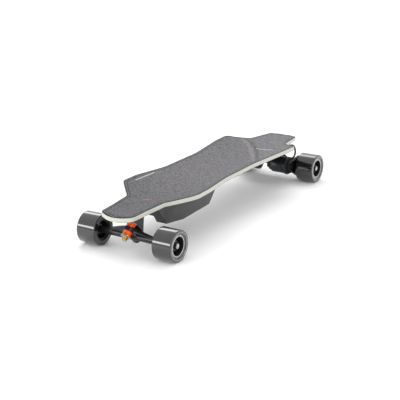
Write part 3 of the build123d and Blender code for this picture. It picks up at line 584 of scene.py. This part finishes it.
def tooth_ring_tree(finish):
    """Blocks set round a circle about the Z axis."""
    tree, enter, leave = start_tree(
        f"tooth_ring_{finish}",
        [
            ("Count", WHOLE),
            ("Radius", FLOAT),
            ("Tooth", FLOAT),
            ("Height", FLOAT),
            ("Width", FLOAT),
        ],
    )
    ring = add_node(
        tree,
        "GeometryNodeMeshCircle",
        Vertices=enter.outputs["Count"],
        Radius=enter.outputs["Radius"],
    )
    size = add_node(
        tree,
        "ShaderNodeCombineXYZ",
        X=enter.outputs["Height"],
        Y=enter.outputs["Tooth"],
        Z=enter.outputs["Width"],
    )
    block = add_node(tree, "GeometryNodeMeshCube", Size=size.outputs[0])
    index = add_node(tree, "GeometryNodeInputIndex")
    step = add_node(
        tree, "ShaderNodeMath", {"operation": "DIVIDE"}, _0=2 * math.pi, _1=enter.outputs["Count"]
    )
    angle = add_node(
        tree, "ShaderNodeMath", {"operation": "MULTIPLY"}, _0=index.outputs[0], _1=step.outputs[0]
    )
    turn = add_node(tree, "ShaderNodeCombineXYZ", Z=angle.outputs[0])
    placed = add_node(
        tree,
        "GeometryNodeInstanceOnPoints",
        Points=ring.outputs[0],
        Instance=block.outputs[0],
        Rotation=turn.outputs[0],
    )
    end_tree(tree, placed.outputs[0], leave, finish)
    return tree


def path_teeth_tree(finish):
    """Blocks set evenly along a closed path in the XY plane."""
    tree, enter, leave = start_tree(
        f"path_teeth_{finish}",
        [("Count", WHOLE), ("Tooth", FLOAT), ("Height", FLOAT), ("Width", FLOAT)],
    )
    path = add_node(tree, "GeometryNodeMeshToCurve", Mesh=enter.outputs["Geometry"])
    evenly = add_node(
        tree, "GeometryNodeResampleCurve", Curve=path.outputs[0], Count=enter.outputs["Count"]
    )
    size = add_node(
        tree,
        "ShaderNodeCombineXYZ",
        X=enter.outputs["Tooth"],
        Y=enter.outputs["Height"],
        Z=enter.outputs["Width"],
    )
    block = add_node(tree, "GeometryNodeMeshCube", Size=size.outputs[0])
    tangent = add_node(tree, "GeometryNodeInputTangent")
    turn = add_node(
        tree, "FunctionNodeAlignRotationToVector", {"axis": "X"}, Vector=tangent.outputs[0]
    )
    placed = add_node(
        tree,
        "GeometryNodeInstanceOnPoints",
        Points=evenly.outputs[0],
        Instance=block.outputs[0],
        Rotation=turn.outputs[0],
    )
    end_tree(tree, placed.outputs[0], leave, finish)
    return tree


def grown(name, tree, values, place, body, points=((0, 0, 0),), edges=()):
    """Run a geometry tree on some points, bake it to a plain mesh and set it in place."""
    mesh = bpy.data.meshes.new(name)
    mesh.from_pydata(points, edges, [])
    obj = bpy.data.objects.new(name, mesh)
    bpy.context.scene.collection.objects.link(obj)
    modifier = obj.modifiers.new("detail", "NODES")
    modifier.node_group = tree
    for item in tree.interface.items_tree:
        if item.in_out == "INPUT" and item.name in values:
            modifier[item.identifier] = values[item.name]
    baked = bpy.data.meshes.new_from_object(
        obj.evaluated_get(bpy.context.evaluated_depsgraph_get())
    )
    obj.modifiers.clear()
    baked.transform(place)
    baked.name = name
    obj.data = baked
    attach(obj, body)
    return obj


# ---------------------------------------------------------------- grip sheet
def surface_z(x, y):
    """Height of the deck's top face."""
    drop = camber_radius - np.sqrt(camber_radius**2 - x**2)
    rise = concave_radius - np.sqrt(concave_radius**2 - y**2)
    return deck_top - drop + rise


def half_widths(node, stations):
    """Half width of a flat CAD node at each station along the board."""
    mesh = frame["nodes"][node].data
    spots = np.array([v.co for v in mesh.vertices], float)
    pairs = np.array([e.vertices for e in mesh.edges], int)
    a, b = spots[pairs[:, 0]], spots[pairs[:, 1]]
    widths = []
    for x in stations:
        crossing = (np.minimum(a[:, 0], b[:, 0]) <= x) & (np.maximum(a[:, 0], b[:, 0]) >= x)
        p, q = a[crossing], b[crossing]
        run = np.where(abs(q[:, 0] - p[:, 0]) < 1e-9, 1e-9, q[:, 0] - p[:, 0])
        share = np.clip((x - p[:, 0]) / run, 0, 1)
        widths.append((p[:, 1] + share * (q[:, 1] - p[:, 1])).max())
    return np.array(widths)


def distance_to_path(x, y, path):
    """Distance from each point to an open path, and which side of it the point is on."""
    best = np.full(x.shape, 1e9)
    side = np.zeros(x.shape)
    along_share = np.zeros(x.shape)
    pieces = list(zip(path, path[1:]))
    for i, ((ax, ay), (bx, by)) in enumerate(pieces):
        run = np.hypot(bx - ax, by - ay)
        share = np.clip(((x - ax) * (bx - ax) + (y - ay) * (by - ay)) / run**2, 0, 1)
        away = np.hypot(x - ax - share * (bx - ax), y - ay - share * (by - ay))
        nearer = away < best
        best = np.where(nearer, away, best)
        cross = (bx - ax) * (y - ay) - (by - ay) * (x - ax)
        side = np.where(nearer, np.sign(cross), side)
        along_share = np.where(nearer, (i + share) / len(pieces), along_share)
    return best, side, along_share


def smooth_step(value, low, high):
    """0 below low, 1 above high, and smooth between."""
    t = np.clip((value - low) / (high - low), 0, 1)
    return t * t * (3 - 2 * t)


# crest and hollow of the raised foot stop that runs across the rear platform
stop_crest = [(-0.322, -0.087), (-0.302, -0.060), (-0.273, -0.029), (-0.231, 0.005),
              (-0.147, 0.058), (-0.078, 0.096)]
stop_hollow = [(-0.329, -0.068), (-0.308, -0.037), (-0.264, 0.003), (-0.212, 0.037),
               (-0.130, 0.083)]
stop_height = 2.2 * MM
stop_width = 15 * MM
border_inset = 9 * MM


def grip_sheet():
    """The gritty sheet on the deck, with its pressed border and raised foot stop."""
    low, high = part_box("grip_tape")
    stations, rows, under_step = 400, 121, 10
    turn = np.linspace(0, math.pi, stations)
    even = np.linspace(0, 1, stations)
    share = 0.93 * even + 0.07 * (1 - np.cos(turn)) / 2
    xs = low.x + 2e-5 + share * (high.x - low.x - 4e-5)
    widths = half_widths("grip_tape", xs)
    across = np.linspace(-1, 1, rows)
    x = np.repeat(xs[:, None], rows, 1)
    y = widths[:, None] * across[None, :]
    edge = [(px, py) for px, py in zip(xs, widths)]
    edge_away = distance_to_path(x, abs(y), [edge[0], *edge[4:-4:4], edge[-1]])[0]
    edge_away = np.minimum(edge_away, np.minimum(x - low.x, high.x - x) + 0.2 * widths[:, None])
    crest = distance_to_path(x, y, stop_crest)
    hollow = distance_to_path(x, y, stop_hollow)
    fade = smooth_step(crest[2], 0.02, 0.2) * (1 - smooth_step(crest[2], 0.8, 1.0))
    bump = stop_height * (1 - smooth_step(crest[0], 0.2 * stop_width, stop_width)) * fade
    dip = 0.9 * MM * (1 - smooth_step(hollow[0], 1.5 * MM, 9 * MM)) * fade
    border = 0.7 * MM * (1 - smooth_step(abs(edge_away - border_inset), 0.8 * MM, 2.6 * MM))
    rim = 0.9 * MM * (1 - smooth_step(edge_away, 0.0, 2.0 * MM))
    z = surface_z(x, y) + grip_thickness + bump - dip - border - rim
    behind = smooth_step(crest[0], 12 * MM, 30 * MM) * (crest[1] > 0)
    # Colour factor for the grip: lighter on the tail behind the foot stop, a painted highlight on
    # the stop's crest, painted shade in its hollow, in the pressed border groove and along the
    # rolled rim, and darker towards the nose.
    painted_light_tone = 0.96 + 0.12 * behind * (x < -0.12)
    painted_light_tone += 0.34 * (1 - smooth_step(crest[0], 3 * MM, 9 * MM)) * fade
    painted_light_tone -= 0.26 * (1 - smooth_step(hollow[0], 1.5 * MM, 7 * MM)) * fade
    painted_light_tone -= 0.4 * (1 - smooth_step(abs(edge_away - border_inset), 0.8 * MM, 2.6 * MM))
    painted_light_tone -= 0.75 * (1 - smooth_step(edge_away, 1.6 * MM, 3.6 * MM))
    painted_light_tone -= 0.2 * smooth_step(x, 0.05, 0.34)
    top = np.stack([x, y, z], 2).reshape(-1, 3)
    under = np.stack([x, y, surface_z(x, y)], 2)[:, ::under_step]
    lanes = under.shape[1]
    points = np.concatenate([top, under.reshape(-1, 3)])
    base = stations * rows
    faces = []
    for i in range(stations - 1):
        for j in range(rows - 1):
            a = i * rows + j
            faces.append((a, a + rows, a + rows + 1, a + 1))
        for j in range(lanes - 1):
            a = base + i * lanes + j
            faces.append((a, a + 1, a + lanes + 1, a + lanes))
        for j, k in ((0, 0), (rows - 1, lanes - 1)):
            a, b = i * rows + j, base + i * lanes + k
            faces.append((a, b, b + lanes, a + rows))
    for i in (0, stations - 1):
        rim_up = [i * rows + j for j in range(rows - 1, -1, -1)]
        faces.append([base + i * lanes + k for k in range(lanes)] + rim_up)
    mesh = bpy.data.meshes.new("grip_sheet")
    mesh.from_pydata(points.tolist(), [], faces)
    attribute = mesh.attributes.new("painted_light_tone", "FLOAT_COLOR", "POINT")
    values = np.ones((len(points), 4), np.float32)
    values[:base, :3] = painted_light_tone.reshape(-1, 1)
    attribute.data.foreach_set("color", values.ravel())
    obj = bpy.data.objects.new("grip_sheet", mesh)
    bpy.context.scene.collection.objects.link(obj)
    mesh.materials.append(finishes["grip"])
    shell = bmesh.new()
    shell.from_mesh(mesh)
    bmesh.ops.recalc_face_normals(shell, faces=shell.faces)
    for face in shell.faces:
        face.smooth = True
    shell.to_mesh(mesh)
    shell.free()
    mesh.set_sharp_from_angle(angle=math.radians(50))
    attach(obj, "board")
    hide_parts("grip_tape")
    return obj


def printed_strip(name, path, width, finish):
    """A thin printed line that lies on the grip sheet."""
    spots = []
    for (ax, ay), (bx, by) in zip(path, path[1:]):
        steps = max(2, int(math.hypot(bx - ax, by - ay) / (4 * MM)))
        spots += [(ax + (bx - ax) * k / steps, ay + (by - ay) * k / steps) for k in range(steps)]
    spots.append(path[-1])
    points, faces = [], []
    for i, (px, py) in enumerate(spots):
        nx, ny = spots[min(i + 1, len(spots) - 1)]
        lx, ly = spots[max(i - 1, 0)]
        run = Vector((nx - lx, ny - ly)).normalized()
        for side, lift in ((-1, 0.35), (1, 0.35), (1, -0.2), (-1, -0.2)):
            qx, qy = px - side * run.y * width / 2, py + side * run.x * width / 2
            level = float(surface_z(qx, qy)) + grip_thickness + lift * MM
            points.append((qx, qy, level))
        if i:
            a, b = 4 * (i - 1), 4 * i
            faces += [(a + k, a + (k + 1) % 4, b + (k + 1) % 4, b + k) for k in range(4)]
    faces += [(0, 1, 2, 3), tuple(4 * (len(spots) - 1) + k for k in range(4))]
    obj = new_object(name, points, faces, finish, smooth=False)
    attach(obj, "board")
    return obj


grip_sheet()
printed_strip("front_printed_line", [(0.219, -0.098), (0.133, -0.094)], 2.4 * MM, "line")
printed_strip("rear_printed_line", [(-0.254, 0.009), (-0.250, 0.069)], 3.2 * MM, "line")
printed_strip("nose_printed_mark", [(0.315, -0.008), (0.303, 0.012)], 3 * MM, "mark")

# ---------------------------------------------------------------- wheels
half = wheel_half_width
tyre_outline = [
    (core_radius, -core_face, 0),
    (core_radius + 1 * MM, -half, 0.6 * MM),
    (wheel_radius, -half, 3 * MM),
    (wheel_radius, half, 3 * MM),
    (36 * MM, half, 0.5 * MM),
    (33.6 * MM, half - 2.6 * MM, 0.7 * MM),
    (core_radius, core_face, 0),
]
rim_ring_outline = [
    (24.2 * MM, core_face - 3 * MM, 0),
    (28 * MM, core_face - 3 * MM, 0),
    (28 * MM, core_face + 0.3 * MM, 0.3 * MM),
    (26.6 * MM, core_face + 0.5 * MM, 0.4 * MM),
    (24.2 * MM, core_face - 1.2 * MM, 0.3 * MM),
]
lip_outline = [
    (34.9 * MM, half - 1.6 * MM, 0),
    (36.6 * MM, half - 0.6 * MM, 0),
    (36.6 * MM, half + 0.2 * MM, 0.2 * MM),
    (35.3 * MM, half + 0.2 * MM, 0.4 * MM),
]
shield_outline = [
    (5.2 * MM, 14.2 * MM, 0),
    (10.4 * MM, 14.2 * MM, 0),
    (10.4 * MM, 15.25 * MM, 0.2 * MM),
    (5.2 * MM, 15.25 * MM, 0.2 * MM),
]
for end, axle_x in (("front", front_axle_x), ("rear", rear_axle_x)):
    for side, way in (("left", 1), ("right", -1)):
        body = f"{end}_{side}_wheel"
        centre = (axle_x, way * wheel_y, axle_z)
        axis = (0, way, 0)
        tyre = lathe(f"{end}_{side}_urethane", rounded(tyre_outline, 8), centre, axis, "tyre", 128)
        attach(tyre, body)
        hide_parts(f"{end}_{side}_tyre")
        ring = lathe(f"{end}_{side}_rim_ring", rounded(rim_ring_outline, 4), centre, axis, "silver")
        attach(ring, body)
        # a thin ring proud of the tyre face, in pale grey urethane: a painted highlight on the
        # lip's chamfer
        lip = lathe(f"{end}_{side}_lip_painted_highlight", rounded(lip_outline, 3), centre, axis, "lip")
        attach(lip, body)
        for face, turned in (("outer", 1), ("inner", -1)):
            shield = lathe(
                f"{end}_{side}_{face}_shield",
                rounded(shield_outline, 2),
                centre,
                (0, way * turned, 0),
                "black_steel",
                48,
            )
            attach(shield, body)
        softened(f"{end}_{side}_bearing_pair", f"{end}_{side}_bearings", "steel", 0.2 * MM)

# ---------------------------------------------------------------- trucks
diagonal = math.sqrt(0.5)
ring_centres = {
    "front": (Vector((front_axle_x + ring_ahead, 0, axle_z + ring_above)), 1),
    "rear": (Vector((rear_axle_x - ring_ahead, 0, axle_z + ring_above)), -1),
}
bushing_outline = [
    (kingpin_radius, 0, 0),
    (bushing_radius, 0, 1.2 * MM),
    (bushing_radius - bushing_waist, bushing_length / 2, 4 * MM),
    (bushing_radius, bushing_length, 1.2 * MM),
    (kingpin_radius, bushing_length, 0),
]
for end, (centre, way) in ring_centres.items():
    down = Vector((way * diagonal, 0, -diagonal))
    for place, sign in (("lower", 1), ("upper", -1)):
        start = centre + down * (sign * ring_half)
        rubber = lathe(
            f"{end}_{place}_urethane_bushing",
            rounded(bushing_outline, 6),
            start,
            down * sign,
            "bushing",
            72,
        )
        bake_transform(rubber)
        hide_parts(f"{end}_{place}_bushing")
    softened(f"{end}_hanger_casting", f"{end}_hanger", "casting", 0.9 * MM)

softened("kingpin_hex_nuts", "kingpin_nuts", "gold", 0.5 * MM)

# ---------------------------------------------------------------- cases
softened("battery_case_moulding", "battery_case", "case", 1.2 * MM)
softened("controller_case_moulding", "controller_case", "case", 0.8 * MM)

# ---------------------------------------------------------------- rear drive
wheel_pitch_radius = wheel_teeth * belt_pitch / (2 * math.pi)
motor_pitch_radius = motor_teeth * belt_pitch / (2 * math.pi)
teeth_tree = tooth_ring_tree("pulley")
belt_tree = path_teeth_tree("belt")
belt_middle_y = pulley_y + pulley_width / 2


def belt_line(shrink, steps=40):
    """Closed line round both pulleys, in a plane with X towards the nose and Y up."""
    reach = Vector((motor_x - rear_axle_x, motor_z - axle_z))
    lean = math.acos((wheel_pitch_radius - motor_pitch_radius) / reach.length)
    heading = math.atan2(reach.y, reach.x)
    points = []
    for centre, radius, start, sweep in (
        (Vector((0, 0)), wheel_pitch_radius - shrink, heading + lean, 2 * (math.pi - lean)),
        (reach, motor_pitch_radius - shrink, heading - lean, 2 * lean),
    ):
        for k in range(steps + 1):
            turn = start + sweep * k / steps
            points.append(centre + Vector((math.cos(turn), math.sin(turn))) * radius)
    return points


def pulley(side, way, kind, x, z, pitch_radius, teeth, bore, body, turn):
    """A toothed pulley: a turned hub with two flanges and a ring of teeth."""
    flange = pitch_radius + 1.1 * MM
    root = pitch_radius - tooth_height
    end = pulley_width
    outline = [
        (bore, 0, 0),
        (flange, 0, 0.2 * MM),
        (flange, 1 * MM, 0.3 * MM),
        (root, 1 * MM, 0),
        (root, end - 1 * MM, 0),
        (flange, end - 1 * MM, 0.3 * MM),
        (flange, end, 0.2 * MM),
        (bore, end, 0),
    ]
    hub = lathe(f"{side}_{kind}_pulley_hub", rounded(outline, 3), (x, way * pulley_y, z),
                (0, way, 0), "pulley", 72)
    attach(hub, body)
    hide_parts(f"{side}_{kind}_pulley")
    place = (
        Matrix.Translation((x, way * belt_middle_y, z))
        @ Matrix.Rotation(math.radians(90), 4, "X")
        @ Matrix.Rotation(turn, 4, "Z")
    )
    grown(
        f"{side}_{kind}_pulley_teeth",
        teeth_tree,
        {
            "Count": teeth,
            "Radius": pitch_radius - tooth_height / 2 - 0.1 * MM,
            "Tooth": 0.42 * belt_pitch,
            "Height": tooth_height,
            "Width": pulley_width - 2 * MM,
        },
        place,
        body,
    )


for side, way in (("left", 1), ("right", -1)):
    line = belt_line(tooth_height / 2 - belt_gap)
    pitch_line = belt_line(0)
    belt_teeth = round(
        sum((b - a).length for a, b in zip(pitch_line, pitch_line[1:] + pitch_line[:1]))
        / belt_pitch
    )
    first = line[0]
    wheel_turn = math.atan2(first.y, first.x) + math.pi / wheel_teeth
    grown(
        f"{side}_belt_teeth",
        belt_tree,
        {
            "Count": belt_teeth,
            "Tooth": 0.4 * belt_pitch,
            "Height": tooth_height,
            "Width": belt_width,
        },
        Matrix.Translation((rear_axle_x, way * belt_middle_y, axle_z))
        @ Matrix.Rotation(math.radians(90), 4, "X"),
        "rear_truck_hanger",
        [(p.x, p.y, 0) for p in line],
        [(k, (k + 1) % len(line)) for k in range(len(line))],
    )
    pulley(side, way, "wheel", rear_axle_x, axle_z, wheel_pitch_radius, wheel_teeth,
           14 * MM, f"rear_{side}_wheel", wheel_turn)
    pulley(side, way, "motor", motor_x, motor_z, motor_pitch_radius, motor_teeth,
           3 * MM, f"{side}_motor_rotor", 0.1)
    adapter = lathe(
        f"{side}_pulley_adapter",
        rounded([
            (21 * MM, 0, 0.4 * MM),
            (28 * MM, 0, 0.4 * MM),
            (28 * MM, core_inner_y - pulley_y - pulley_width, 0.4 * MM),
            (21 * MM, core_inner_y - pulley_y - pulley_width, 0.4 * MM),
        ], 3),
        (rear_axle_x, way * (pulley_y + pulley_width), axle_z),
        (0, way, 0),
        "pulley",
    )
    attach(adapter, f"rear_{side}_wheel")
    softened(f"{side}_mount_plate", f"{side}_motor_mount", "mount", 0.8 * MM)
    softened(f"{side}_motor_shell", f"{side}_motor_can", "motor", 1.2 * MM)
    softened(f"{side}_motor_flange", f"{side}_motor_base", "mount", 0.5 * MM)

# ---------------------------------------------------------------- motor cables
loop_x = controller_rear_x - 132 * MM
cable_route = [
    (controller_rear_x + 2 * MM, 40 * MM, 101.5 * MM),
    (controller_rear_x - 36 * MM, 43 * MM, 102.5 * MM),
    (controller_rear_x - 80 * MM, 47 * MM, 102 * MM),
    (controller_rear_x - 121 * MM, 51 * MM, 103 * MM),
    (loop_x, 54 * MM, 92.5 * MM),
    (loop_x, 57 * MM, 77.5 * MM),
    (controller_rear_x - 121 * MM, 60 * MM, 67 * MM),
    (controller_rear_x - 99 * MM, 63 * MM, 66 * MM),
    (motor_x - 18 * MM, motor_base_middle_y, motor_z + 12 * MM),
]


def spline_points(name, route):
    """Points along the smooth line that a route's points guide."""
    curve = bpy.data.curves.new(name, "CURVE")
    curve.dimensions = "3D"
    curve.resolution_u = 8
    spline = curve.splines.new("NURBS")
    spline.points.add(len(route) - 1)
    for point, place in zip(spline.points, route):
        point.co = (*place, 1)
    spline.order_u = 3
    spline.use_endpoint_u = True
    holder = bpy.data.objects.new(name, curve)
    bpy.context.scene.collection.objects.link(holder)
    bpy.context.view_layer.update()
    mesh = bpy.data.meshes.new_from_object(holder)
    points = [v.co.copy() for v in mesh.vertices]
    bpy.data.objects.remove(holder)
    return points


def tube(name, points, radius, finish, around=20):
    """A closed tube along points, with a UV map in metres along and round it."""
    ahead = [(points[min(i + 1, len(points) - 1)] - points[max(i - 1, 0)]).normalized()
             for i in range(len(points))]
    side = ahead[0].orthogonal().normalized()
    places, lengths = [], []
    run = 0.0
    for i, (point, way) in enumerate(zip(points, ahead)):
        side = (side - way * side.dot(way)).normalized()
        up = way.cross(side)
        run += (point - points[i - 1]).length if i else 0.0
        lengths.append(run)
        for k in range(around):
            turn = 2 * math.pi * k / around
            places.append(point + (side * math.cos(turn) + up * math.sin(turn)) * radius)
    faces = []
    for i in range(len(points) - 1):
        for k in range(around):
            j = (k + 1) % around
            here, there = i * around, (i + 1) * around
            faces.append((here + k, here + j, there + j, there + k))
    faces.append(tuple(range(around - 1, -1, -1)))
    faces.append(tuple((len(points) - 1) * around + k for k in range(around)))
    obj = new_object(name, places, faces, finish)
    uv = obj.data.uv_layers.new(name="UVMap")
    for polygon in obj.data.polygons:
        wraps = {obj.data.loops[i].vertex_index % around for i in polygon.loop_indices}
        for i in polygon.loop_indices:
            vertex = obj.data.loops[i].vertex_index
            k = vertex % around
            k = around if k == 0 and around - 1 in wraps else k
            uv.data[i].uv = (lengths[vertex // around], k / around * 2 * math.pi * radius)
    return obj


for side, way in (("left", 1), ("right", -1)):
    points = [Vector((p.x, way * p.y, p.z)) for p in spline_points("cable_line", cable_route)]
    sleeve = tube(f"{side}_cable_sleeve", points, cable_radius, "braid")
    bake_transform(sleeve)
    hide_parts(f"{side}_motor_cable")

# ---------------------------------------------------------------- floor
floor_material = new_material("matt_paper_sweep", "#fcfcfc", 0.9)[0]
floor = new_object(
    "floor",
    [(-20, -20, 0), (20, -20, 0), (20, 20, 0), (-20, 20, 0)],
    [(0, 1, 2, 3)],
    "line",
    smooth=False,
)
floor.data.materials.clear()
floor.data.materials.append(floor_material)
